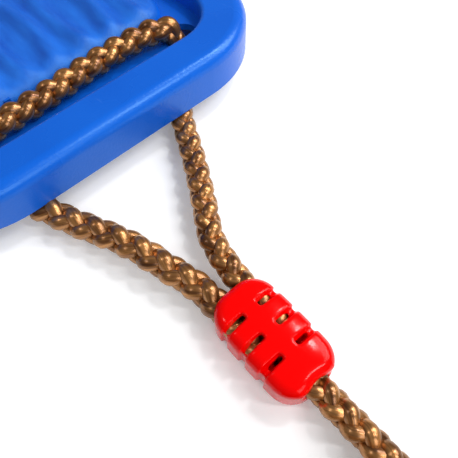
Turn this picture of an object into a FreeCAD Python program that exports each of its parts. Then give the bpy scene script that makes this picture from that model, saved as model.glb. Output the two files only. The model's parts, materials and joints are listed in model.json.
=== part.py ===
"""Child's swing seat with its ropes: a moulded board, a rope loop held in each end,
a moulded clamp on each loop, and the hanging ropes coiled for storage, with their
adjusters and steel rings. Millimetres, +Z up, +X along the board's long side,
origin on the ground under the middle of the board."""

import FreeCAD
import Part
import math
import os
import re
from FreeCAD import Placement, Rotation, Vector

doc = FreeCAD.newDocument("swing_seat")
sheet = doc.addObject("Spreadsheet::Sheet", "sizes")

# Driving dimensions in millimetres, and counts
SIZES = {
    # the board
    "seat_length": 420,
    "seat_width": 165,
    "corner_radius": 40,
    "board_height": 18.3,
    "end_lift": 11,
    "shell_wall": 3,
    "rim_width": 19.1,
    "rim_round": 5,
    "rim_inner_round": 2,
    "recess_depth": 9,
    "trough_width": 19.5,
    "side_groove": 10,
    "pad_corner": 14,
    "pad_drop": 0.8,
    "pad_round": 7,
    "ridge_count": 7,
    "ridge_pitch": 13.5,
    "ridge_width": 5,
    "ridge_height": 1.3,
    "ridge_end": 10,
    "ridge_bends": 8,
    "ridge_sway": 2.2,
    "rope_hole_width": 14,
    "rope_hole_pitch": 100.6,
    "rope_hole_inset": 10.9,
    "rib_wall": 2.5,
    "rib_count": 5,
    "rib_pitch": 54,
    "long_rib_pitch": 50,
    # the rope
    "rope_width": 10,
    "rope_play": 0.1,
    "trough_play": 0.4,
    "ground_play": 0.1,
    # the clamp on each loop
    "clamp_start": 69,
    "clamp_length": 41,
    "clamp_width": 24,
    "clamp_height": 15,
    "clamp_offset": 10.5,
    "clamp_corner": 8.5,
    "clamp_round": 3.2,
    "two_rope_depth": 20.8,
    "clamp_web": 3.2,
    "groove_count": 3,
    "groove_pitch": 8.5,
    "groove_width": 3.2,
    "groove_first": 10.3,
    "groove_skin": 0.5,
    "spine_width": 6,
    "window_length": 5.2,
    "window_width": 2.2,
    # the put-away coil
    "coil_turns": 3.875,
    "coil_radius": 62,
    "coil_step": 10.9,
    "layer_step": 10.6,
    "near_coil_reach": 393,
    "far_coil_reach": 367,
    # adjuster, end cap and ring
    "top_height": 11.3,
    "bend_reach": 130,
    "adjuster_start": 80,
    "adjuster_depth": 12,
    "adjuster_wall": 3.8,
    "adjuster_play": 0.3,
    "adjuster_corner": 5,
    "cap_start": 63,
    "cap_length": 12,
    "cap_wall": 2.2,
    "cap_floor": 3,
    "ring_radius": 18,
    "ring_wire": 6,
    "ring_play": 0.7,
}
for row, (alias, value) in enumerate(SIZES.items(), start=1):
    sheet.set(f"A{row}", alias)
    sheet.set(f"B{row}", str(value))
    sheet.setAlias(f"B{row}", alias)
doc.recompute()


def size(alias):
    return float(sheet.get(alias))


def bound(text):
    """The expression with each sheet alias written as a reference to the sheet."""
    return re.sub(r"[a-z_]+[a-z]", lambda m: "sizes." + m[0] if m[0] in SIZES else m[0], str(text))


def primitive(kind, name, at=(0, 0, 0), turn=None, **sizes):
    """A Part primitive whose sizes and place follow the sheet."""
    made = doc.addObject("Part::" + kind, name)
    for key, text in sizes.items():
        made.setExpression(key, bound(text))
    if turn:
        made.Placement = Placement(Vector(0, 0, 0), turn)
    for axis, text in zip("xyz", at):
        made.setExpression("Placement.Base." + axis, bound(text))
    return made


def cut(name, base, tool):
    made = doc.addObject("Part::Cut", name)
    made.Base = base
    made.Tool = tool
    return made


def joined(name, shapes):
    made = doc.addObject("Part::MultiFuse", name)
    made.Shapes = shapes
    return made


def shared(name, shapes):
    made = doc.addObject("Part::MultiCommon", name)
    made.Shapes = shapes
    return made


def rounded(name, base, chosen, radius):
    """A fillet on those edges of base for which chosen(edge) holds."""
    doc.recompute()
    made = doc.addObject("Part::Fillet", name)
    made.Base = base
    numbered = enumerate(base.Shape.Edges, start=1)
    made.Edges = [(number, radius, radius) for number, edge in numbered if chosen(edge)]
    return made


ALONG_X = Rotation(Vector(0, 1, 0), 90)
ALONG_Y = Rotation(Vector(1, 0, 0), -90)

# The board is bent to one large arc: its middle rests on the ground and its ends are lifted
BEND = "((seat_length^2 / 4 + end_lift^2) / (2 * end_lift))"
half_length = size("seat_length") / 2
half_width = size("seat_width") / 2
bend_radius = (half_length**2 + size("end_lift") ** 2) / (2 * size("end_lift"))
# The height of the upright blocks, which are cut to the board's layers
BLOCK = "(5 * board_height)"
block_height = 5 * size("board_height")


def under_board(x):
    """Height of the board's lower edge above the ground at x."""
    return bend_radius - math.sqrt(bend_radius**2 - x**2)


def height_in_board(point):
    """Height of a point over the board's lower edge, square to the bend."""
    return bend_radius - math.hypot(point.x, point.z - bend_radius)


def inset_in_board(point):
    """How far a point lies inside the board's outline."""
    corner = size("corner_radius")
    across = abs(point.x) - (half_length - corner)
    beside = abs(point.y) - (half_width - corner)
    if across > 0 and beside > 0:
        return corner - math.hypot(across, beside)
    return corner - max(across, beside)


def layer(name, low, high):
    """The space between two heights over the board's lower edge, following its bend."""
    parts = [
        primitive(
            "Cylinder", f"{name}_{end}", ("0", "-seat_width", BEND), ALONG_Y,
            Radius=f"{BEND} - ({height})", Height="2 * seat_width",
        )
        for end, height in (("below", low), ("above", high))
    ]
    return cut(name, *parts)


def plate(name, inset_x, inset_y, corner):
    """An upright block with the board's outline, drawn in and with round corners."""
    block = primitive(
        "Box", name + "_block",
        (f"-seat_length / 2 + ({inset_x})", f"-seat_width / 2 + ({inset_y})", "-20"),
        Length=f"seat_length - 2 * ({inset_x})",
        Width=f"seat_width - 2 * ({inset_y})",
        Height=BLOCK,
    )
    return rounded(name, block, lambda edge: abs(edge.Length - block_height) < 0.001, corner)


def rope_hole(number, along, across):
    """One of the four holes through the floor of the rope troughs."""
    reach = f"{along} * (seat_length / 2 - rim_width - rope_hole_inset)"
    return primitive(
        "Cylinder", f"rope_hole_{number}", (reach, f"{across} * rope_hole_pitch / 2", "0"),
        Radius="rope_hole_width / 2", Height="board_height + end_lift",
    )


def ridge(row):
    """An upright block in the plan of one of the pad's wavy ridges."""
    half_run = half_length - size("rim_width") - size("trough_width") - size("ridge_end")
    bends = int(size("ridge_bends"))
    step = 2 * half_run / bends
    middle = (row - (size("ridge_count") - 1) / 2) * size("ridge_pitch")

    def side_line(y):
        arcs = []
        for bend in range(bends):
            start = Vector(-half_run + bend * step, y, 0)
            sway = size("ridge_sway") * (-1) ** (bend + row)
            arcs.append(Part.Arc(start, start + Vector(step / 2, sway, 0), start + Vector(step, 0, 0)))
        return [arc.toShape() for arc in arcs]

    half_ridge = size("ridge_width") / 2
    ends = [
        Part.LineSegment(
            Vector(x, middle - half_ridge, 0), Vector(x, middle + half_ridge, 0),
        ).toShape()
        for x in (-half_run, half_run)
    ]
    edges = side_line(middle - half_ridge) + side_line(middle + half_ridge) + ends
    outline = Part.Wire(Part.__sortEdges__(edges))
    return Part.Face(outline).extrude(Vector(0, 0, block_height))


def make_board():
    """The moulded board: a rounded rim round a raised pad, hollow and ribbed below."""
    corner = size("corner_radius")
    wall = size("shell_wall")
    rim = size("rim_width")
    floor_top = "board_height - recess_depth"
    pad_x = "rim_width + trough_width"
    pad_y = "rim_width + side_groove"

    blank = shared("board_blank", [
        plate("outline", "0", "0", corner),
        layer("board_layer", "0", "board_height"),
    ])
    recess = plate("recess", "rim_width", "rim_width", corner - rim)
    pad = plate("pad", pad_x, pad_y, size("pad_corner"))
    lowered = shared("pad_space", [
        recess, layer("over_pad", "board_height - pad_drop", "board_height + 10"),
    ])
    groove = shared("groove_space", [
        cut("groove_outline", recess, pad), layer("in_groove", floor_top, "board_height"),
    ])
    dressed = cut("board_dressed", cut("board_lowered", blank, lowered), groove)
    dressed.Refine = True

    def at_height(edge, height):
        middle = edge.valueAt((edge.FirstParameter + edge.LastParameter) / 2)
        ends = [vertex.Point for vertex in edge.Vertexes]
        return all(abs(height_in_board(p) - height) < 0.05 for p in [middle, *ends])

    def on_rim(edge):
        middle = edge.valueAt((edge.FirstParameter + edge.LastParameter) / 2)
        return at_height(edge, size("board_height")) and inset_in_board(middle) < rim / 2

    def inside_rim(edge):
        middle = edge.valueAt((edge.FirstParameter + edge.LastParameter) / 2)
        return at_height(edge, size("board_height")) and inset_in_board(middle) > rim / 2

    def on_pad(edge):
        return at_height(edge, size("board_height") - size("pad_drop"))

    outer_round = rounded("rim_rounded", dressed, on_rim, size("rim_round"))
    inner_round = rounded("recess_rounded", outer_round, inside_rim, size("rim_inner_round"))
    soft_pad = rounded("pad_rounded", inner_round, on_pad, size("pad_round"))

    under_floor = f"{floor_top} - shell_wall"
    below_all = shared("space_below", [
        plate("inner_outline", "shell_wall", "shell_wall", corner - wall),
        layer("under_floor", "-10", under_floor),
    ])
    in_rim = shared("space_in_rim", [
        cut(
            "rim_space_outline",
            plate("rim_space_outer", "shell_wall", "shell_wall", corner - wall),
            plate(
                "rim_space_inner", "rim_width - shell_wall", "rim_width - shell_wall",
                corner - rim + wall,
            ),
        ),
        layer("in_rim", "-10", "board_height - shell_wall"),
    ])
    in_pad = shared("space_in_pad", [
        plate(
            "pad_space_outline", f"{pad_x} + shell_wall", f"{pad_y} + shell_wall",
            size("pad_corner") - wall,
        ),
        layer("in_pad", "-10", "board_height - pad_drop - shell_wall"),
    ])
    shell = cut("board_shell", soft_pad, joined("hollow", [below_all, in_rim, in_pad]))

    ribs = [
        primitive(
            "Box", f"cross_rib_{k}",
            (f"({k} - (rib_count - 1) / 2) * rib_pitch - rib_wall / 2", "-seat_width / 2", "-10"),
            Length="rib_wall", Width="seat_width", Height=BLOCK,
        )
        for k in range(int(size("rib_count")))
    ] + [
        primitive(
            "Box", f"long_rib_{k}",
            (f"-seat_length / 2 + {pad_x}", f"({k} - 0.5) * long_rib_pitch - rib_wall / 2", "-10"),
            Length=f"seat_length - 2 * ({pad_x})", Width="rib_wall", Height=BLOCK,
        )
        for k in range(2)
    ]
    inside = shared("rib_space", [
        joined("rib_blocks", ribs),
        plate("rib_outline", "shell_wall / 2", "shell_wall / 2", corner - wall / 2),
        layer("rib_layer", "rib_wall / 2", f"{under_floor} + shell_wall / 2"),
    ])
    pad_ribs = shared("pad_rib_space", [
        joined("pad_rib_blocks", ribs),
        plate("pad_rib_outline", f"{pad_x} + shell_wall / 2", f"{pad_y} + shell_wall / 2",
              size("pad_corner") - wall / 2),
        layer("pad_rib_layer", "rib_wall / 2", "board_height - pad_drop - shell_wall / 2"),
    ])
    ridge_blocks = doc.addObject("Part::Feature", "ridge_blocks")
    ridge_blocks.Shape = Part.makeCompound([ridge(row) for row in range(int(size("ridge_count")))])
    pad_top = "board_height - pad_drop"
    ridges = shared("ridges", [
        ridge_blocks, layer("ridge_layer", f"{pad_top} - shell_wall / 3", f"{pad_top} + ridge_height"),
    ])
    ribbed = joined("ribbed_board", [shell, inside, pad_ribs, ridges])
    corners = [(along, across) for along in (1, -1) for across in (1, -1)]
    holes = [rope_hole(number, *at) for number, at in enumerate(corners, start=1)]
    board = cut("seat_board", ribbed, joined("rope_holes", holes))
    board.Refine = True
    return board


def make_clamp(name, side):
    """The ferrule moulded round the rope: two ropes enter it and one leaves."""
    middle = "clamp_height / 2"
    rope = "rope_width / 2 + rope_play"
    block = primitive(
        "Box", name + "_block", ("0", "-clamp_width / 2", "0"),
        Length="clamp_length", Width="clamp_width", Height="clamp_height",
    )
    corners = rounded(
        name + "_corners", block,
        lambda edge: abs(edge.Vertexes[0].Z - edge.Vertexes[-1].Z) > 1, size("clamp_corner"),
    )
    body = rounded(
        name + "_body", corners,
        lambda edge: edge.BoundBox.ZLength < 0.001, size("clamp_round"),
    )
    grooves = []
    windows = []
    for k in range(int(size("groove_count"))):
        place = f"groove_first + {k} * groove_pitch"
        for flank in (1, -1):
            start = "spine_width / 2" if flank > 0 else "-clamp_width / 2 - 1"
            grooves.append(primitive(
                "Box", f"{name}_groove_{k}_{flank + 1}",
                (f"{place} - groove_width / 2", start, "-1"),
                Length="groove_width", Width="clamp_width / 2 + 1 - spine_width / 2",
                Height="clamp_height + 2",
            ))
            near = "spine_width / 2" if flank > 0 else "-spine_width / 2 - window_length"
            windows.append(primitive(
                "Box", f"{name}_window_{k}_{flank + 1}",
                (f"{place} - window_width / 2", near, middle),
                Length="window_width", Width="window_length", Height="clamp_height",
            ))
    core_half = "(rope_width + 2 * rope_play + groove_skin)"
    core_tall = "(rope_width / 2 + rope_play + groove_skin)"
    core = primitive(
        "Box", name + "_core", ("-1", f"-{core_half}", f"{middle} - {core_tall}"),
        Length="clamp_length + 2", Width=f"2 * {core_half}", Height=f"2 * {core_tall}",
    )
    bores = [
        primitive(
            "Cylinder", f"{name}_bore_{k}",
            ("-1", f"({k} - 0.5) * 2 * ({rope})", middle), ALONG_X,
            Radius=rope, Height="two_rope_depth + 1",
        )
        for k in range(2)
    ]
    bores.append(primitive(
        "Box", name + "_between", ("-1", f"-({rope})", f"{middle} - ({rope})"),
        Length="two_rope_depth + 1", Width=f"2 * ({rope})", Height=f"2 * ({rope})",
    ))
    bores.append(primitive(
        "Cylinder", name + "_far_bore",
        ("two_rope_depth + clamp_web", "0", middle), ALONG_X,
        Radius=rope, Height="clamp_length",
    ))
    notched = cut(name + "_notched", body, cut(
        name + "_notches", joined(name + "_grooves", grooves), core,
    ))
    clamp = cut(name, notched, joined(name + "_openings", bores + windows))
    turn = Rotation(Vector(0, 0, 1), 0 if side > 0 else 180)
    start = half_length + size("clamp_start")
    clamp.Placement = Placement(Vector(side * start, -size("clamp_offset"), 0), turn)
    return clamp


def corner_arc(before, corner, after):
    """The arc that leaves before towards corner and comes into after from it."""
    chord = (before + after) * 0.5
    offset = (corner - chord).Length
    half_chord = (after - before).Length / 2
    radius = half_chord * (corner - before).Length / offset
    sagitta = radius - math.sqrt(max(radius**2 - half_chord**2, 0))
    middle = chord + (corner - chord) * (sagitta / offset)
    return Part.Arc(before, middle, after).toShape(), radius


def routed(points):
    """Straight runs joined by tangent arcs, each as large as its two runs allow."""
    edges = []
    radii = []
    at = points[0]
    for before, corner, after in zip(points, points[1:], points[2:]):
        reach = 0.45 * min((corner - before).Length, (after - corner).Length)
        arc_start = corner + (before - corner).normalize() * reach
        arc_end = corner + (after - corner).normalize() * reach
        edges.append(Part.LineSegment(at, arc_start).toShape())
        arc, radius = corner_arc(arc_start, corner, arc_end)
        edges.append(arc)
        radii.append(radius)
        at = arc_end
    edges.append(Part.LineSegment(at, points[-1]).toShape())
    return edges, radii


def tube(name, edges, heading):
    """A round tube of the rope's width along the edges, as a sub-part."""
    width = size("rope_width")
    wire = Part.Wire(edges)
    start = edges[0].valueAt(edges[0].FirstParameter)
    profile = Part.Wire([Part.Circle(start, heading, width / 2).toShape()])
    solid = wire.makePipeShell([profile], True, False)
    expected = math.pi * width**2 / 4 * wire.Length
    print(f"{name}: length {wire.Length:.1f}, volume {solid.Volume / expected:.4f} of section x length")
    made = doc.addObject("Part::Feature", name)
    made.Shape = solid
    return made


def rope(name, points):
    edges, radii = routed(points)
    print(f"{name}: radii " + " ".join(f"{radius:.0f}" for radius in radii))
    return tube(name, edges, points[1] - points[0])


def mirrored(side, points):
    return [Vector(side * x, y, z) for x, y, z in points]


def make_loop_rope(name, side):
    """The rope from inside the clamp, under the rim, up one hole, along the trough and back."""
    end = half_length
    in_hole_x = end - size("rim_width") - size("rope_hole_inset") - 0.4
    in_hole_y = size("rope_hole_pitch") / 2 - 1.3
    radius = size("rope_width") / 2
    ground = radius + size("ground_play")
    trough = under_board(in_hole_x) + size("board_height") - size("recess_depth")
    trough += radius + size("trough_play")
    apart = radius + size("rope_play")
    axis = -size("clamp_offset")
    inner = end + size("clamp_start") + size("two_rope_depth")
    height = size("clamp_height") / 2
    return rope(name, mirrored(side, [
        (inner, axis + apart, height),
        (end + 55, axis + apart, height),
        (end + 35.5, 6.8, 8.3),
        (end + 16, 17.8, 6.7),
        (end - 6, 28.6, ground),
        (in_hole_x, in_hole_y, ground),
        (in_hole_x, in_hole_y, trough + 1.8),
        (end - 33.6, 28, trough + 1.6),
        (end - 33.8, 6, trough + 0.8),
        (end - 31.8, -18, trough + 0.4),
        (in_hole_x, -in_hole_y, trough + 1.8),
        (in_hole_x, -in_hole_y, ground),
        (end - 5.7, -39.5, ground),
        (end + 12.3, -32.8, 6.6),
        (end + 30.3, -24.2, 7.9),
        (end + 50, -19.3, 7.8),
        (end + 62, axis - apart, height),
        (inner, axis - apart, height),
    ]))


def make_hanging_rope(name, side, reach):
    """The rope from inside the clamp along the ground to the coil."""
    start = half_length + size("clamp_start") + size("two_rope_depth") + size("clamp_web")
    stop = reach - size("rope_width")
    axis = -size("clamp_offset")
    height = size("clamp_height") / 2
    ground = size("rope_width") / 2 + size("ground_play")
    span = stop - start
    return rope(name, mirrored(side, [
        (start, axis, height),
        (start + 0.3 * span, axis, height),
        (start + 0.6 * span, axis + 0.9, ground + 1.1),
        (start + 0.81 * span, axis, ground),
        (stop, axis, ground),
    ]))


def coil_point(angle, side, reach):
    """A point of the coil's centre line: in on the lower layer, out on the upper one."""
    total = 2 * math.pi * size("coil_turns")
    inward = min(angle, total - angle)
    radius = size("coil_radius") - size("coil_step") * inward / (2 * math.pi)
    climb = (angle - (total - math.pi) / 2) / math.pi
    share = (1 - math.cos(math.pi * min(max(climb, 0), 1))) / 2
    z = size("rope_width") / 2 + size("ground_play") + size("layer_step") * share
    y = -size("clamp_offset") - size("coil_radius") + radius * math.cos(angle)
    return Vector(side * (reach + radius * math.sin(angle)), y, z)


def coil_heading(angle, side, reach):
    step = 0.001
    total = 2 * math.pi * size("coil_turns")
    if angle < step:
        return Vector(side, 0, 0)
    if angle > total - step:
        return Vector(side * math.cos(angle), -math.sin(angle), 0)
    ahead = coil_point(angle + step, side, reach)
    return (ahead - coil_point(angle - step, side, reach)).normalize()


def biarc(start, start_heading, end, end_heading):
    """Two tangent arcs between two points with given headings."""
    span = end - start
    both = start_heading + end_heading
    spare = 2 * (1 - start_heading.dot(end_heading))
    along = span.dot(both)
    reach = (math.sqrt(along**2 + spare * span.dot(span)) - along) / spare
    first = start + start_heading * reach
    second = end - end_heading * reach
    middle = (first + second) * 0.5
    return [corner_arc(start, first, middle)[0], corner_arc(middle, second, end)[0]]


def make_coil(name, side, reach):
    """The put-away length, wound in two layers, with a straight end of one rope width."""
    total = 2 * math.pi * size("coil_turns")
    steps = math.ceil(size("coil_turns") * 4)
    angles = [total * k / steps for k in range(steps + 1)]
    points = [coil_point(angle, side, reach) for angle in angles]
    headings = [coil_heading(angle, side, reach) for angle in angles]
    lead = size("rope_width")
    edges = [Part.LineSegment(points[0] - headings[0] * lead, points[0]).toShape()]
    for k in range(steps):
        edges += biarc(points[k], headings[k], points[k + 1], headings[k + 1])
    edges.append(Part.LineSegment(points[-1], points[-1] + headings[-1] * lead).toShape())
    print(f"{name}: least gap to itself {least_gap(edges):.2f}")
    return tube(name, edges, headings[0])


def least_gap(edges):
    """The least gap between stretches of a tube more than six rope widths apart along it."""
    width = size("rope_width")
    points = []
    for edge in edges:
        count = max(2, round(edge.Length / 4))
        part = edge.discretize(count + 1)
        points += part[:-1]
    travelled = [0]
    for before, after in zip(points, points[1:]):
        travelled.append(travelled[-1] + (after - before).Length)
    least = min(
        (points[a] - points[b]).Length
        for a in range(len(points))
        for b in range(a)
        if travelled[a] - travelled[b] > 6 * width
    )
    return least - width


class TopFrame:
    """Places the top fittings: along the rope that leaves the coil, and across it."""

    def __init__(self, side, reach):
        angle = 2 * math.pi * size("coil_turns")
        self.start = coil_point(angle, side, reach)
        self.ahead = coil_heading(angle, side, reach)
        self.across = Vector(-side * math.sin(angle), -math.cos(angle), 0)

    def at(self, along, across, height):
        flat = self.start + self.ahead * along + self.across * across
        return Vector(flat.x, flat.y, height)

    def turn(self):
        """The rotation that brings +X onto the rope's heading."""
        return Rotation(Vector(1, 0, 0), self.ahead)


def run_pitch():
    """Distance between the two runs of the top loop, which the ring hangs between."""
    return size("ring_wire") + 2 * size("ring_play") + size("rope_width")


def make_top_rope(name, frame):
    """The rope from the coil through the adjuster, round the ring and back to its end cap."""
    pitch = run_pitch()
    height = size("top_height")
    upper = frame.start.z
    crossing = 37
    return rope(name, [
        frame.at(size("rope_width"), 0, upper),
        frame.at(crossing, 0, upper),
        frame.at(crossing + 20, 0, height),
        frame.at(size("bend_reach"), 0, height),
        frame.at(size("bend_reach"), pitch, height),
        frame.at(size("cap_start") + size("cap_floor"), pitch, height),
    ])


def make_adjuster(name, frame):
    """The two-hole slider that sets the length of the top loop."""
    pitch = run_pitch()
    edge = "(rope_width / 2 + adjuster_play + adjuster_wall)"
    gap = "(ring_wire + 2 * ring_play + rope_width)"
    block = primitive(
        "Box", name + "_block", ("0", f"-{gap} / 2 - {edge}", "0.2"),
        Length="adjuster_depth", Width=f"{gap} + 2 * {edge}", Height="2 * top_height - 0.4",
    )
    plate_shape = rounded(
        name + "_plate", block,
        lambda e: abs(e.Vertexes[0].X - e.Vertexes[-1].X) > 1, size("adjuster_corner"),
    )
    soft = rounded(name + "_soft", plate_shape, lambda e: e.BoundBox.XLength < 0.001, 1.5)
    holes = [
        primitive(
            "Cylinder", f"{name}_hole_{k}", ("-1", f"({k} - 0.5) * {gap}", "top_height"), ALONG_X,
            Radius="rope_width / 2 + adjuster_play", Height="adjuster_depth + 2",
        )
        for k in range(2)
    ]
    adjuster = cut(name, soft, joined(name + "_holes", holes))
    adjuster.Placement = Placement(frame.at(size("adjuster_start"), pitch / 2, 0), frame.turn())
    return adjuster


def make_cap(name, frame):
    """The cap on the rope's end, which stops it slipping out of the adjuster."""
    outer = primitive(
        "Cylinder", name + "_outer", turn=ALONG_X,
        Radius="rope_width / 2 + rope_play + cap_wall", Height="cap_length",
    )
    soft = rounded(name + "_soft", outer, lambda e: e.BoundBox.XLength < 0.001, 1.2)
    bore = primitive(
        "Cylinder", name + "_bore", ("cap_floor", "0", "0"), ALONG_X,
        Radius="rope_width / 2 + rope_play", Height="cap_length",
    )
    cap = cut(name, soft, bore)
    place = frame.at(size("cap_start"), run_pitch(), size("top_height"))
    cap.Placement = Placement(place, frame.turn())
    return cap


def make_ring(name, frame):
    """The steel ring that goes on the swing's hook, standing between the two runs of rope."""
    ring = primitive("Torus", name, Radius1="ring_radius", Radius2="ring_wire / 2")
    height = size("ring_radius") + size("ring_wire") / 2
    middle = frame.at(size("bend_reach"), run_pitch() / 2, height)
    for axis in "xyz":
        ring.setExpression("Placement.Base." + axis, None)
    ring.Placement = Placement(middle, Rotation(Vector(0, 0, 1), frame.across))
    return ring


sub_parts = [make_board()]
for end, side in (("near", 1), ("far", -1)):
    coil_reach = size(end + "_coil_reach")
    top = TopFrame(side, coil_reach)
    sub_parts += [
        make_clamp(end + "_clamp", side),
        make_loop_rope(end + "_loop_rope", side),
        make_hanging_rope(end + "_hanging_rope", side, coil_reach),
        make_coil(end + "_rope_coil", side, coil_reach),
        make_top_rope(end + "_top_rope", top),
        make_adjuster(end + "_adjuster", top),
        make_cap(end + "_end_cap", top),
        make_ring(end + "_ring", top),
    ]
doc.recompute()

for item in doc.Objects:
    if "Invalid" in item.State or "Error" in item.State:
        raise RuntimeError(f"{item.Name} failed: {item.State}")
for item in sub_parts:
    item.Label = item.Name
    if item.Shape.isNull() or not item.Shape.isValid() or not item.Shape.Solids:
        raise RuntimeError(f"{item.Name} has no valid solid")

os.makedirs("parts", exist_ok=True)
for item in sub_parts:
    item.Shape.exportStep(f"parts/{item.Label}.step")
    box = item.Shape.BoundBox
    print(
        f"{item.Label}: {len(item.Shape.Solids)} solid, {item.Shape.Volume:.0f} mm3, "
        f"x {box.XMin:.1f} {box.XMax:.1f}, y {box.YMin:.1f} {box.YMax:.1f}, "
        f"z {box.ZMin:.2f} {box.ZMax:.2f}"
    )
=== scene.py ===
"""A child's swing seat: blue moulded board, plaited rope and red rope clamps."""

import json
import math
from typing import NamedTuple

import bmesh
import bpy
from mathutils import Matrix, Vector

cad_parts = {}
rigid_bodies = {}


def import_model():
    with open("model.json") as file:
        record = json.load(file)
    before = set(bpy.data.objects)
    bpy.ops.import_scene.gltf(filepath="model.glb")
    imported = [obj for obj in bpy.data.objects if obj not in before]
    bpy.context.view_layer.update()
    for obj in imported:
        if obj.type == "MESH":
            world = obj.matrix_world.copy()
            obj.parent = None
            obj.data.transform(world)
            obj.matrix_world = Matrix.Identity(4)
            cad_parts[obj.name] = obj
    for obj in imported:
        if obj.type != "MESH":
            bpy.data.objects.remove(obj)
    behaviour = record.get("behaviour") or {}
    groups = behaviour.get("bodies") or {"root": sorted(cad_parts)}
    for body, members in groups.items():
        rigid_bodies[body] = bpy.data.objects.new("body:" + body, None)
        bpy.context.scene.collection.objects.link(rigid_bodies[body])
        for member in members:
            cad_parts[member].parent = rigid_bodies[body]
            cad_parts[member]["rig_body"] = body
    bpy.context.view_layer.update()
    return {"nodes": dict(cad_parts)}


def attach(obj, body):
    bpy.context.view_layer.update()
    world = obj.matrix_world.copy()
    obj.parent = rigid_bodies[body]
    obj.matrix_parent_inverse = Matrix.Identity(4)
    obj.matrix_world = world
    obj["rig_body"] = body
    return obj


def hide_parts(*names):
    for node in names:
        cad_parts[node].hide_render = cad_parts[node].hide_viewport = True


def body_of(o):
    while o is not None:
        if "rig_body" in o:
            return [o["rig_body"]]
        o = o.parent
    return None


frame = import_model()

MM = 0.001
QUARTER = math.pi / 2
ENDS = (("near", 1), ("far", -1))

# The rope: strands, how far they swing from its middle, and the length between its line's points
ROPE_WIDTH = 10 * MM
STRAND_RADIUS = 2.55 * MM
STRAND_SWELL = 0.13
BRAID_OUT = 2.65 * MM
BRAID_IN = 1.35 * MM
BRAID_PITCH = 16 * MM
LAY_FADE = 0.08
LOOP_STEP = 0.6 * MM
HANGING_STEP = 0.9 * MM

# The board, as the model has it
BOARD_LENGTH = 420 * MM
BOARD_WIDTH = 165 * MM
BOARD_HEIGHT = 18.3 * MM
END_LIFT = 11 * MM
BEND_RADIUS = (BOARD_LENGTH**2 / 4 + END_LIFT**2) / (2 * END_LIFT)
RIM_WIDTH = 19.1 * MM
TROUGH_WIDTH = 19.5 * MM
SIDE_GROOVE = 10 * MM
PAD_CORNER = 14 * MM
PAD_DROP = 0.8 * MM
PAD_ROUND = 7 * MM
RIDGE_COUNT = 7
RIDGE_PITCH = 13.5 * MM
RIDGE_END = 10 * MM
RIDGE_BENDS = 8
RIDGE_SWAY = 2.2 * MM

# The pad's skin: its waves, how far in from the edge they rise, and its tucked edge
WAVE_HEIGHT = 2.3 * MM
WAVE_FOOT = 13 * MM
WAVE_WANDER = 0.2
WANDER_LENGTH = 57 * MM
WANDER_TURN = 2.1
WAVE_START = 2 * MM
WAVE_RISE = 7.5 * MM
SKIN = 0.12 * MM
SKIN_DEPTH = 0.8 * MM
SKIN_MARGIN = 0.7 * MM
SKIN_STEP = 1.05 * MM
TUCK = 0.5 * MM
TUCK_START = 1 * MM
TUCK_RUN = 1.5 * MM

# The coil and the top loop, as the model has them
COIL_TURNS = 3.875
COIL_RADIUS = 62 * MM
COIL_STEP = 10.9 * MM
LAYER_STEP = 10.6 * MM
COIL_REACH = {"near": 393 * MM, "far": 367 * MM}
POINTS_PER_TURN = 24
GROUND = 5.1 * MM
HANGING_START = 303 * MM
TOP_HEIGHT = 11.3 * MM
TOP_PITCH = 17.4 * MM

# The clamp: its place and size, as the model has them
CLAMP_AXIS = -10.5 * MM
CLAMP_MIDDLE = 299.5 * MM
CLAMP_HALF_LENGTH = 20.5 * MM
CLAMP_HALF_WIDTH = 12 * MM
CLAMP_HALF_HEIGHT = 7.5 * MM
CLAMP_NOTCHES = (289.3 * MM, 297.8 * MM, 306.3 * MM)

# What moulding did to the clamp: shares of its half width and half length, and depths
CLAMP_VOXEL = 0.35 * MM
CLAMP_PASSES = 12
SIDE_FALL = 0.22
END_FALL = 0.12
END_NARROWING = 0.06
NOTCH_PULL = 0.42
NOTCH_REACH = 1.9 * MM
SLIT_START = 0.55
SLIT_FADE = 0.12
SLIT_REACH = 1.35 * MM
SLIT_DEPTH = 1.9 * MM
SLIT_RISE = 3 * MM
MOUTH_START = 0.6
MOUTH_HALF_WIDTH = 0.62
MOUTH_DEPTH = 1.3 * MM
MOUTH_RISE = 2 * MM

# The view: where the camera is, what it looks at, and its focal length in picture points
CAMERA_AIM = Vector((256.9, 8.9, 0)) * MM
CAMERA_DISTANCE = 196.95 * MM
CAMERA_AZIMUTH = math.radians(48.28)
CAMERA_ELEVATION = math.radians(60.89)
CAMERA_SENSOR = 36
CAMERA_NEAREST = 0.005
PICTURE = 458
FOCAL_PIXELS = 525.8
VIEW_BACK = Vector((
    math.sin(CAMERA_AZIMUTH) * math.cos(CAMERA_ELEVATION),
    -math.cos(CAMERA_AZIMUTH) * math.cos(CAMERA_ELEVATION),
    math.sin(CAMERA_ELEVATION),
))

# The stage: name, place, width, height and watts of each light, all aimed at the board's end
LIGHT_AIM = Vector((0.25, 0, 0.01))
LIGHTS = (
    ("key_light", (0.45, 0.85, 0.8), 0.6, 0.6, 7.4),
    ("glint_light", (0.2, 0.6, 0.95), 0.12, 0.12, 2.6),
    ("side_light", (1.05, -0.1, 0.6), 0.5, 0.5, 3),
    ("strip_light", (0.69, 0.32, 0.85), 0.1, 0.4, 2.6),
    ("streak_light", (-0.1, -0.4, 0.83), 0.05, 0.25, 0.9),
)
WORLD_LIGHT = 0.2
FLOOR_SIZE = 12
FLOOR_GLOW = 0.22
SHADE_LIFT = 0.02 * MM


def smooth(value):
    value = min(max(value, 0), 1)
    return value * value * (3 - 2 * value)


def linked(name, data):
    item = bpy.data.objects.new(name, data)
    bpy.context.collection.objects.link(item)
    return item


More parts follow.
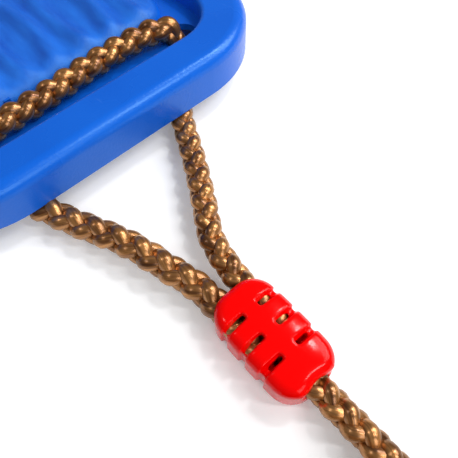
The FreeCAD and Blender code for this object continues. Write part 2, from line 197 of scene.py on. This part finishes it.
def finished(name, mesh, body, material, replaced=()):
    """A piece of the object, riding on its body and standing for the nodes it replaces."""
    piece = linked(name, mesh)
    mesh.materials.clear()
    mesh.materials.append(material)
    for face in mesh.polygons:
        face.use_smooth = True
    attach(piece, body)
    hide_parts(*replaced)
    return piece


def fill(node, sockets):
    for key, value in sockets.items():
        node.inputs[key].default_value = value


class Nodes:
    """A node tree whose nodes are made with their settings and socket values."""

    def __init__(self, tree):
        self.tree = tree

    def add(self, kind, sockets=None, **settings):
        node = self.tree.nodes.new("ShaderNode" + kind)
        for key, value in settings.items():
            setattr(node, key, value)
        fill(node, sockets or {})
        return node

    def link(self, source, target):
        self.tree.links.new(source, target)


class Shader(Nodes):
    """A new material and its surface."""

    def __init__(self, name, sockets):
        self.material = bpy.data.materials.new(name)
        self.material.use_nodes = True
        super().__init__(self.material.node_tree)
        self.surface = self.tree.nodes["Principled BSDF"]
        fill(self.surface, sockets)

    def drive(self, socket, source):
        self.link(source, self.surface.inputs[socket])


def moulded_skin():
    """Tone patches, fine grain and faint scuffs, shared by the moulded pieces."""
    group = bpy.data.node_groups.new("moulded_skin", "ShaderNodeTree")
    group.interface.new_socket("Vector", in_out="INPUT", socket_type="NodeSocketVector")
    for name in ("Patches", "Grain", "Scuffs"):
        group.interface.new_socket(name, in_out="OUTPUT", socket_type="NodeSocketFloat")
    enter = group.nodes.new("NodeGroupInput")
    leave = group.nodes.new("NodeGroupOutput")
    nodes = Nodes(group)
    patches = nodes.add("TexNoise", {"Scale": 40, "Detail": 3})
    grain = nodes.add("TexNoise", {"Scale": 900, "Detail": 2})
    stretch = nodes.add("Mapping", {"Scale": (0.25, 1, 1)})
    scuffs = nodes.add("TexNoise", {"Scale": 300, "Detail": 4, "Roughness": 0.7})
    narrow = nodes.add("MapRange", {"From Min": 0.66, "From Max": 0.78})
    for node in (patches, grain, stretch):
        nodes.link(enter.outputs["Vector"], node.inputs["Vector"])
    nodes.link(stretch.outputs["Vector"], scuffs.inputs["Vector"])
    nodes.link(scuffs.outputs["Fac"], narrow.inputs["Value"])
    nodes.link(patches.outputs["Fac"], leave.inputs["Patches"])
    nodes.link(grain.outputs["Fac"], leave.inputs["Grain"])
    nodes.link(narrow.outputs["Result"], leave.inputs["Scuffs"])
    return group


MOULDED_SKIN = moulded_skin()


def moulded_plastic(name, deep, light, scuffed, roughness, sheen, bump, painted_light_streaks=None):
    """Glossy moulded plastic whose colour wanders a little and whose skin is scuffed.

    Given an angle to the board's length, the colour wanders in long bands of painted light and
    shade."""
    shader = Shader(name, {"Specular Tint": (*sheen, 1)})
    skin = shader.add("Group", node_tree=MOULDED_SKIN)
    place = shader.add("TexCoord")
    along = shader.add("Mapping")
    # With an angle, the tone patches are drawn out into slanted bands of painted light and shade
    if painted_light_streaks:
        fill(along, {"Rotation": (0, 0, painted_light_streaks), "Scale": (1.2, 5, 5)})
    shader.link(place.outputs["Object"], along.inputs["Vector"])
    shader.link(along.outputs["Vector"], skin.inputs["Vector"])
    tone = shader.add("Mix", {"A": (*deep, 1), "B": (*light, 1)}, data_type="RGBA")
    shader.link(skin.outputs["Patches"], tone.inputs["Factor"])
    faint = shader.add("Math", {1: 0.35}, operation="MULTIPLY")
    shader.link(skin.outputs["Scuffs"], faint.inputs[0])
    worn = shader.add("Mix", {"B": (*scuffed, 1)}, data_type="RGBA")
    shader.link(tone.outputs["Result"], worn.inputs["A"])
    shader.link(faint.outputs["Value"], worn.inputs["Factor"])
    shader.drive("Base Color", worn.outputs["Result"])
    rough = shader.add("MapRange", {"To Min": 0.85 * roughness, "To Max": 1.2 * roughness})
    shader.link(skin.outputs["Patches"], rough.inputs["Value"])
    shader.drive("Roughness", rough.outputs["Result"])
    height = shader.add("Bump", {"Strength": bump, "Distance": 0.3 * MM})
    shader.link(skin.outputs["Grain"], height.inputs["Height"])
    shader.drive("Normal", height.outputs["Normal"])
    return shader.material


def filament_rope():
    """Bundles of glossy bronze filament that run along each strand."""
    shader = Shader("filament_rope", {
        "Metallic": 0.75,
        "Roughness": 0.3,
        "Anisotropic": 0.6,
        "Anisotropic Rotation": 0.25,
        "Coat Weight": 0.7,
        "Coat Roughness": 0.25,
        "Coat Tint": (1, 0.93, 0.8, 1),
        "Specular IOR Level": 0.6,
        "Specular Tint": (1, 0.84, 0.58, 1),
    })
    place = shader.add("UVMap", uv_map="strand")
    # Fine filaments: noise squeezed hard across the strand and drawn out along it
    drawn = shader.add("Mapping", {"Scale": (90, 26, 1)})
    filaments = shader.add("TexNoise", {"Scale": 1, "Detail": 3, "Roughness": 0.6})
    shader.link(place.outputs["UV"], drawn.inputs["Vector"])
    shader.link(drawn.outputs["Vector"], filaments.inputs["Vector"])
    # Bundles of them, which differ in tone
    gathered = shader.add("Mapping", {"Scale": (60, 7, 1)})
    bundles = shader.add("TexNoise", {"Scale": 1, "Detail": 2})
    spread = shader.add("MapRange", {"From Min": 0.3, "From Max": 0.7})
    tone = shader.add(
        "Mix", {"A": (0.15, 0.045, 0.006, 1), "B": (0.66, 0.31, 0.10, 1)}, data_type="RGBA",
    )
    shader.link(place.outputs["UV"], gathered.inputs["Vector"])
    shader.link(gathered.outputs["Vector"], bundles.inputs["Vector"])
    shader.link(bundles.outputs["Fac"], spread.inputs["Value"])
    shader.link(spread.outputs["Result"], tone.inputs["Factor"])
    # Between filaments the surface lies lower, and painted shade darkens it
    gap_shade = shader.add("MapRange", {"From Min": 0.35, "From Max": 0.6, "To Min": 0.25})
    shaded_tone = shader.add("Mix", {"Factor": 0.5}, data_type="RGBA", blend_type="MULTIPLY")
    shader.link(filaments.outputs["Fac"], gap_shade.inputs["Value"])
    shader.link(tone.outputs["Result"], shaded_tone.inputs["A"])
    shader.link(gap_shade.outputs["Result"], shaded_tone.inputs["B"])
    shader.drive("Base Color", shaded_tone.outputs["Result"])
    height = shader.add("Bump", {"Strength": 0.28, "Distance": 0.4 * MM})
    shader.link(filaments.outputs["Fac"], height.inputs["Height"])
    shader.drive("Normal", height.outputs["Normal"])
    # The highlight spreads across the filaments, as on satin
    lengthways = shader.add("Tangent", direction_type="UV_MAP", uv_map="strand")
    shader.drive("Tangent", lengthways.outputs["Tangent"])
    return shader.material


def plated_steel():
    """Zinc-plated wire with duller and brighter patches."""
    shader = Shader("plated_steel", {"Metallic": 1})
    place = shader.add("TexCoord")
    patches = shader.add("TexNoise", {"Scale": 160, "Detail": 4})
    rough = shader.add("MapRange", {"To Min": 0.18, "To Max": 0.42})
    tone = shader.add(
        "Mix", {"A": (0.48, 0.49, 0.50, 1), "B": (0.68, 0.68, 0.67, 1)}, data_type="RGBA",
    )
    shader.link(place.outputs["Object"], patches.inputs["Vector"])
    shader.link(patches.outputs["Fac"], rough.inputs["Value"])
    shader.link(patches.outputs["Fac"], tone.inputs["Factor"])
    shader.drive("Roughness", rough.outputs["Result"])
    shader.drive("Base Color", tone.outputs["Result"])
    return shader.material


BLUE = moulded_plastic(
    "blue_plastic", deep=(0.003, 0.10, 0.60), light=(0.006, 0.135, 0.70),
    scuffed=(0.10, 0.28, 0.85), roughness=0.27, sheen=(0.4, 0.8, 1), bump=0.2,
)
# The pad's wide range from deep to light, drawn into slanted bands, is painted light and shade on
# its waves
PAD_BLUE = moulded_plastic(
    "blue_pad_plastic", deep=(0.002, 0.05, 0.42), light=(0.02, 0.21, 0.86),
    scuffed=(0.10, 0.28, 0.85), roughness=0.38, sheen=(0.5, 0.9, 1), bump=0.4,
    painted_light_streaks=math.radians(22),
)
RED = moulded_plastic(
    "red_plastic", deep=(0.88, 0.0, 0.0), light=(0.96, 0.001, 0.001),
    scuffed=(0.95, 0.03, 0.02), roughness=0.12, sheen=(0.4, 0.25, 0.25), bump=0.05,
)
ROPE = filament_rope()
STEEL = plated_steel()


def route_curve(name, points):
    """An open smooth curve that the rope's line follows."""
    curve = bpy.data.curves.new(name, "CURVE")
    curve.dimensions = "3D"
    curve.resolution_u = 16
    line = curve.splines.new("NURBS")
    line.points.add(len(points) - 1)
    for knot, point in zip(line.points, points):
        knot.co = (*point, 1)
    line.order_u = 3
    line.use_endpoint_u = True
    return curve


def mesh_of(curve):
    """The mesh that a curve makes."""
    holder = linked("curve_reader", curve)
    bpy.context.view_layer.update()
    mesh = bpy.data.meshes.new_from_object(holder)
    bpy.data.objects.remove(holder)
    return mesh


def read_line(curve):
    """Points along the curve, as its own mesh gives them."""
    mesh = mesh_of(curve)
    points = [vertex.co.copy() for vertex in mesh.vertices]
    bpy.data.meshes.remove(mesh)
    return points


def evenly(points, step):
    """The line's points again, a steady step apart, and the line's length."""
    reached = [0]
    for before, after in zip(points, points[1:]):
        reached.append(reached[-1] + (after - before).length)
    count = max(2, round(reached[-1] / step))
    spaced = []
    part = 0
    for k in range(count + 1):
        want = reached[-1] * k / count
        while part < len(points) - 2 and reached[part + 1] < want:
            part += 1
        span = reached[part + 1] - reached[part]
        share = (want - reached[part]) / span if span else 0
        spaced.append(points[part].lerp(points[part + 1], min(max(share, 0), 1)))
    return spaced, reached[-1]


def line_frames(points):
    """A sideways and an upward direction at each point, carried along without twist."""
    side = None
    frames = []
    for k in range(len(points)):
        ahead = (points[min(k + 1, len(points) - 1)] - points[max(k - 1, 0)]).normalized()
        if side is None:
            side = ahead.cross(Vector((0, 0, 1))).normalized()
        side = (side - ahead * side.dot(ahead)).normalized()
        frames.append((side, side.cross(ahead)))
    return frames


class Lay(NamedTuple):
    """How a plait lies: the turn of its chevrons from the viewer, and how it changes.

    Past change_at, a share of its length, it has another thickness, pitch and turn."""

    turn: float
    change_at: float
    swell: float
    pitch: float
    change_turn: float


# The loop's second leg lies looser, and the rope is pulled tight where it goes through the adjuster
LOOP_LAY = Lay(
    turn=1.5 * QUARTER, change_at=0.68, swell=1.08, pitch=19 * MM, change_turn=QUARTER,
)
HANGING_LAY = Lay(turn=0.5 * QUARTER, change_at=0.87, swell=0.87, pitch=15 * MM, change_turn=0)


def strand_curve(name, points, length, lay):
    """Four strands plaited round the line: two wind one way and two the other."""
    curve = bpy.data.curves.new(name, "CURVE")
    curve.dimensions = "3D"
    curve.bevel_depth = STRAND_RADIUS
    curve.bevel_resolution = 3
    curve.use_fill_caps = True
    frames = line_frames(points)
    turns = [0]
    swells = []
    seams = []
    for k, (side, up) in enumerate(frames):
        changed = smooth((k / (len(points) - 1) - lay.change_at) / LAY_FADE)
        viewer = math.atan2(VIEW_BACK.dot(up), VIEW_BACK.dot(side))
        seams.append(viewer - lay.turn + lay.change_turn * changed)
        pitch = BRAID_PITCH + (lay.pitch - BRAID_PITCH) * changed
        turns.append(turns[-1] + 2 * math.pi * length / (len(points) - 1) / pitch)
        swells.append(1 + (lay.swell - 1) * changed)
    for way, reach in ((1, (BRAID_OUT, BRAID_IN)), (-1, (BRAID_IN, BRAID_OUT))):
        for half in (0, 1):
            strand = curve.splines.new("POLY")
            strand.points.add(len(points) - 1)
            for k, (point, (side, up)) in enumerate(zip(points, frames)):
                turn = way * turns[k] + math.pi * half
                x = reach[0] * math.cos(turn) * swells[k]
                y = reach[1] * math.sin(turn) * swells[k]
                c, s = math.cos(seams[k]), math.sin(seams[k])
                offset = side * (x * c - y * s) + up * (x * s + y * c)
                strand.points[k].co = (*(point + offset), 1)
                fat = 1 + STRAND_SWELL * way * math.cos(2 * turn)
                strand.points[k].radius = fat * swells[k]
    return curve


def plaited(name, route, step, lay, replaced):
    """The plaited rope along a route, the points it follows, and its length."""
    points, length = evenly(read_line(route_curve(name + "_line", route)), step)
    mesh = mesh_of(strand_curve(name + "_strands", points, length, lay))
    mesh.name = name
    unwrapped = mesh.uv_layers[0]
    unwrapped.name = "strand"
    for corner in unwrapped.data:
        corner.uv = (corner.uv[0] * length, corner.uv[1])
    # The strands flatten where they lie on the floor
    for vertex in mesh.vertices:
        vertex.co.z = max(vertex.co.z, 0)
    return finished(name, mesh, "swing", ROPE, replaced), points, length


def loop_route(side):
    """The loop's points, from inside the clamp through both holes of the board and back."""
    return [
        Vector((side * x * MM, y * MM, z * MM))
        for x, y, z in (
            (299.8, -5.4, 7.5),
            (265, -5.4, 7.5),
            (245.5, 6.8, 8.3),
            (226, 17.8, 6.7),
            (204, 28.6, 5.1),
            (179.6, 47, 5.1),
            (179.6, 47, 24.5),
            (176.4, 28, 24.3),
            (176.2, 6, 23.5),
            (178.2, -18, 23.1),
            (179.6, -49, 24.5),
            (179.6, -49, 5.1),
            (204.3, -39.5, 5.1),
            (222.3, -32.8, 6.6),
            (240.3, -24.2, 7.9),
            (260, -19.3, 7.8),
            (272, -15.6, 7.5),
            (299.8, -15.6, 7.5),
        )
    ]


def hanging_route(side, reach):
    """From inside the clamp down to the ground and along it to the coil."""
    span = reach - ROPE_WIDTH - HANGING_START
    return [
        Vector((side * (HANGING_START + share * span), CLAMP_AXIS + sideways * MM, height * MM))
        for share, sideways, height in (
            (0, 0, 7.5), (0.3, 0, 7.5), (0.6, 0.9, 6.2), (0.81, 0, 5.1), (1, 0, 5.1),
        )
    ]


def coil_route(side, reach):
    """The put-away turns: in on the lower layer and out again on the upper one."""
    total = 2 * math.pi * COIL_TURNS
    count = round(COIL_TURNS * POINTS_PER_TURN)
    route = []
    for k in range(count + 1):
        angle = total * k / count
        radius = COIL_RADIUS - COIL_STEP * min(angle, total - angle) / (2 * math.pi)
        climb = (angle - (total - math.pi) / 2) / math.pi
        share = (1 - math.cos(math.pi * min(max(climb, 0), 1))) / 2
        route.append(Vector((
            side * (reach + radius * math.sin(angle)),
            CLAMP_AXIS - COIL_RADIUS + radius * math.cos(angle),
            GROUND + LAYER_STEP * share,
        )))
    return route


def top_route(side, start):
    """The top of the rope, from the coil's end, through the adjuster and round the ring."""
    angle = 2 * math.pi * COIL_TURNS
    ahead = Vector((side * math.cos(angle), -math.sin(angle), 0))
    across = Vector((-side * math.sin(angle), -math.cos(angle), 0))
    local = (
        (10, 0, start.z),
        (37, 0, start.z),
        (57, 0, TOP_HEIGHT),
        (120, 0, TOP_HEIGHT),
        (130, 0, TOP_HEIGHT),
        (130, TOP_PITCH, TOP_HEIGHT),
        (120, TOP_PITCH, TOP_HEIGHT),
        (66, TOP_PITCH, TOP_HEIGHT),
    )
    route = []
    for along, beside, height in local:
        point = start + ahead * along * MM + across * beside
        route.append(Vector((point.x, point.y, height)))
    return route


def make_ropes():
    for end, side in ENDS:
        piece, points, length = plaited(
            f"{end}_loop_plait", loop_route(side), LOOP_STEP, LOOP_LAY, [f"{end}_loop_rope"],
        )
        coil = coil_route(side, COIL_REACH[end])
        route = hanging_route(side, COIL_REACH[end]) + coil + top_route(side, coil[-1])
        piece, points, length = plaited(
            f"{end}_rope_plait", route, HANGING_STEP, HANGING_LAY,
            [f"{end}_hanging_rope", f"{end}_rope_coil", f"{end}_top_rope"],
        )


def crowned(point):
    """The clamp's point again: a crowned top, flared notches, sunk slits and hollow ends."""
    beside = (point.y - CLAMP_AXIS) / CLAMP_HALF_WIDTH
    along = (abs(point.x) - CLAMP_MIDDLE) / CLAMP_HALF_LENGTH
    above = max(point.z - CLAMP_HALF_HEIGHT, 0)
    fall = above * (SIDE_FALL * abs(beside) ** 2.5 + END_FALL * along**4)
    y = CLAMP_AXIS + (point.y - CLAMP_AXIS) * (1 - END_NARROWING * along**2)
    x = abs(point.x)
    for notch in CLAMP_NOTCHES:
        away = abs(point.x) - notch
        x -= NOTCH_PULL * away * math.exp(-((away / NOTCH_REACH) ** 2))
        slit = math.exp(-((away / SLIT_REACH) ** 4)) * smooth((-beside - SLIT_START) / SLIT_FADE)
        fall += SLIT_DEPTH * slit * smooth(above / SLIT_RISE)
    mouth = smooth((along - MOUTH_START) / (1 - MOUTH_START))
    mouth *= max(1 - (beside / MOUTH_HALF_WIDTH) ** 2, 0)
    x -= MOUTH_DEPTH * mouth * smooth(above / MOUTH_RISE)
    return Vector((math.copysign(x, point.x), y, point.z - fall))


def make_clamps():
    """The model's clamps with the soft edges and the crown that moulding leaves."""
    for end, _ in ENDS:
        node = frame["nodes"][f"{end}_clamp"]
        holder = linked("softener", node.data.copy())
        remesh = holder.modifiers.new("voxels", "REMESH")
        remesh.mode = "VOXEL"
        remesh.voxel_size = CLAMP_VOXEL
        relax = holder.modifiers.new("relax", "SMOOTH")
        relax.factor = 0.5
        relax.iterations = CLAMP_PASSES
        bpy.context.view_layer.update()
        evaluated = holder.evaluated_get(bpy.context.evaluated_depsgraph_get())
        mesh = bpy.data.meshes.new_from_object(evaluated)
        bpy.data.objects.remove(holder)
        mesh.name = f"{end}_clamp_body"
        for vertex in mesh.vertices:
            vertex.co = crowned(vertex.co)
        body = body_of(node)[0]
        finished(f"{end}_clamp_body", mesh, body, RED, [f"{end}_clamp"])


def over_board(x, height):
    """World height of a point that lies this high over the board's bent lower edge."""
    return BEND_RADIUS - math.sqrt((BEND_RADIUS - height) ** 2 - x * x)


def inside_pad(x, y):
    """How far a point lies inside the pad's outline."""
    across = abs(x) - (BOARD_LENGTH / 2 - RIM_WIDTH - TROUGH_WIDTH - PAD_CORNER)
    beside = abs(y) - (BOARD_WIDTH / 2 - RIM_WIDTH - SIDE_GROOVE - PAD_CORNER)
    if across > 0 and beside > 0:
        return PAD_CORNER - math.hypot(across, beside)
    return PAD_CORNER - max(across, beside)


def wave(x, y):
    """Share of a wave's height at this place; the crests follow the board's wavy ridges."""
    half_run = BOARD_LENGTH / 2 - RIM_WIDTH - TROUGH_WIDTH - RIDGE_END
    bend = math.sin(math.pi * (x + half_run) / (2 * half_run / RIDGE_BENDS))
    highest = 0
    for row in range(RIDGE_COUNT):
        crest = (row - (RIDGE_COUNT - 1) / 2) * RIDGE_PITCH + RIDGE_SWAY * bend * (-1) ** row
        away = abs(y - crest) / WAVE_FOOT
        if away < 0.5:
            wander = math.sin(2 * math.pi * x / WANDER_LENGTH + WANDER_TURN * row)
            tall = 1 + WAVE_WANDER * wander
            highest = max(highest, tall * math.cos(math.pi * away) ** 2)
    return highest


def make_pad_waves():
    """The rippled skin of the pad, down over the pad's rounded edge."""
    length = BOARD_LENGTH - 2 * (RIM_WIDTH + TROUGH_WIDTH)
    width = BOARD_WIDTH - 2 * (RIM_WIDTH + SIDE_GROOVE)
    shape = bmesh.new()
    bmesh.ops.create_grid(
        shape, x_segments=round(length / SKIN_STEP), y_segments=round(width / SKIN_STEP), size=0.5,
    )
    bmesh.ops.scale(shape, vec=(length, width, 1), verts=shape.verts)
    outside = [
        face for face in shape.faces
        if inside_pad(*face.calc_center_median().xy) < SKIN_MARGIN
    ]
    bmesh.ops.delete(shape, geom=outside, context="FACES")
    for vertex in shape.verts:
        x, y = vertex.co.xy
        depth = inside_pad(x, y)
        fall = max(PAD_ROUND - depth, 0)
        drop = PAD_ROUND - math.sqrt(max(PAD_ROUND**2 - fall**2, 0))
        lift = SKIN + WAVE_HEIGHT * wave(x, y) * smooth((depth - WAVE_START) / WAVE_RISE)
        tuck = TUCK * (1 - smooth((depth - TUCK_START) / TUCK_RUN))
        vertex.co.z = over_board(x, BOARD_HEIGHT - PAD_DROP) - drop + lift - tuck
    under = bmesh.ops.extrude_face_region(shape, geom=shape.faces[:])
    for item in under["geom"]:
        if isinstance(item, bmesh.types.BMVert):
            item.co.z -= SKIN_DEPTH
    bmesh.ops.recalc_face_normals(shape, faces=shape.faces[:])
    mesh = bpy.data.meshes.new("pad_waves")
    shape.to_mesh(mesh)
    shape.free()
    finished("pad_waves", mesh, "swing", PAD_BLUE)


def dress_nodes():
    """Materials for the nodes whose own shape is shown."""
    dressed = {"seat_board": BLUE}
    for end, _ in ENDS:
        dressed[f"{end}_adjuster"] = RED
        dressed[f"{end}_end_cap"] = RED
        dressed[f"{end}_ring"] = STEEL
    for node, material in dressed.items():
        item = frame["nodes"][node]
        item.data.materials.clear()
        item.data.materials.append(material)


def stage_sheet(name, length, width, height, shader):
    """A flat sheet of the stage, middled on the object."""
    shape = bmesh.new()
    bmesh.ops.create_grid(shape, x_segments=1, y_segments=1, size=0.5)
    bmesh.ops.scale(shape, vec=(length, width, 1), verts=shape.verts)
    bmesh.ops.translate(shape, vec=(0, 0, height), verts=shape.verts)
    mesh = bpy.data.meshes.new(name)
    shape.to_mesh(mesh)
    shape.free()
    mesh.materials.append(shader.material)
    linked(name, mesh)


def seen_rays(shader):
    """One for rays that show the surface to the camera, straight or by a reflection."""
    path = shader.add("LightPath")
    first = shader.add("Math", operation="MAXIMUM")
    both = shader.add("Math", operation="MAXIMUM")
    shader.link(path.outputs["Is Camera Ray"], first.inputs[0])
    shader.link(path.outputs["Is Glossy Ray"], first.inputs[1])
    shader.link(first.outputs["Value"], both.inputs[0])
    shader.link(path.outputs["Is Transmission Ray"], both.inputs[1])
    return both.outputs["Value"]


def make_floor():
    """A white floor that keeps the object's shadow and glows a little to the camera."""
    shader = Shader("white_floor", {
        "Base Color": (0.86, 0.87, 0.88, 1),
        "Roughness": 0.9,
        "Specular IOR Level": 0.1,
        "Emission Color": (1, 1, 1, 1),
    })
    glow = shader.add("Math", {1: FLOOR_GLOW}, operation="MULTIPLY")
    shader.link(seen_rays(shader), glow.inputs[0])
    shader.drive("Emission Strength", glow.outputs["Value"])
    stage_sheet("floor", FLOOR_SIZE, FLOOR_SIZE, 0, shader)


def make_painted_shade():
    """The floor under the board: a darker bluish sheet with no glow, painted shade so that the rope
    holes look dark.
    """
    shader = Shader("painted_shade_floor", {"Base Color": (0.3, 0.34, 0.45, 1), "Roughness": 0.9})
    length = BOARD_LENGTH - 2 * RIM_WIDTH
    stage_sheet("painted_floor_shade", length, BOARD_WIDTH - RIM_WIDTH, SHADE_LIFT, shader)


def make_world():
    """A white background that lights the object less than it shows to the camera."""
    world = bpy.data.worlds.new("studio")
    bpy.context.scene.world = world
    world.use_nodes = True
    nodes = Nodes(world.node_tree)
    path = nodes.add("LightPath")
    strength = nodes.add("MapRange", {"To Min": WORLD_LIGHT, "To Max": 1})
    background = world.node_tree.nodes["Background"]
    fill(background, {"Color": (1, 1, 1, 1)})
    nodes.link(path.outputs["Is Camera Ray"], strength.inputs["Value"])
    nodes.link(strength.outputs["Result"], background.inputs["Strength"])


def make_lights():
    for name, place, width, height, power in LIGHTS:
        lamp = bpy.data.lights.new(name, "AREA")
        lamp.shape = "RECTANGLE"
        lamp.size = width
        lamp.size_y = height
        lamp.energy = power
        item = linked(name, lamp)
        item.location = place
        item.rotation_euler = (Vector(place) - LIGHT_AIM).to_track_quat("Z", "Y").to_euler()


def make_camera():
    lens = bpy.data.cameras.new("camera")
    lens.sensor_width = CAMERA_SENSOR
    lens.lens = CAMERA_SENSOR * FOCAL_PIXELS / PICTURE
    lens.clip_start = CAMERA_NEAREST
    camera = linked("camera", lens)
    camera.location = CAMERA_AIM + VIEW_BACK * CAMERA_DISTANCE
    camera.rotation_euler = VIEW_BACK.to_track_quat("Z", "Y").to_euler()
    bpy.context.scene.camera = camera


bpy.context.scene.view_settings.view_transform = "Standard"
make_camera()
make_clamps()
make_ropes()
make_pad_waves()
dress_nodes()
make_floor()
make_painted_shade()
make_world()
make_lights()
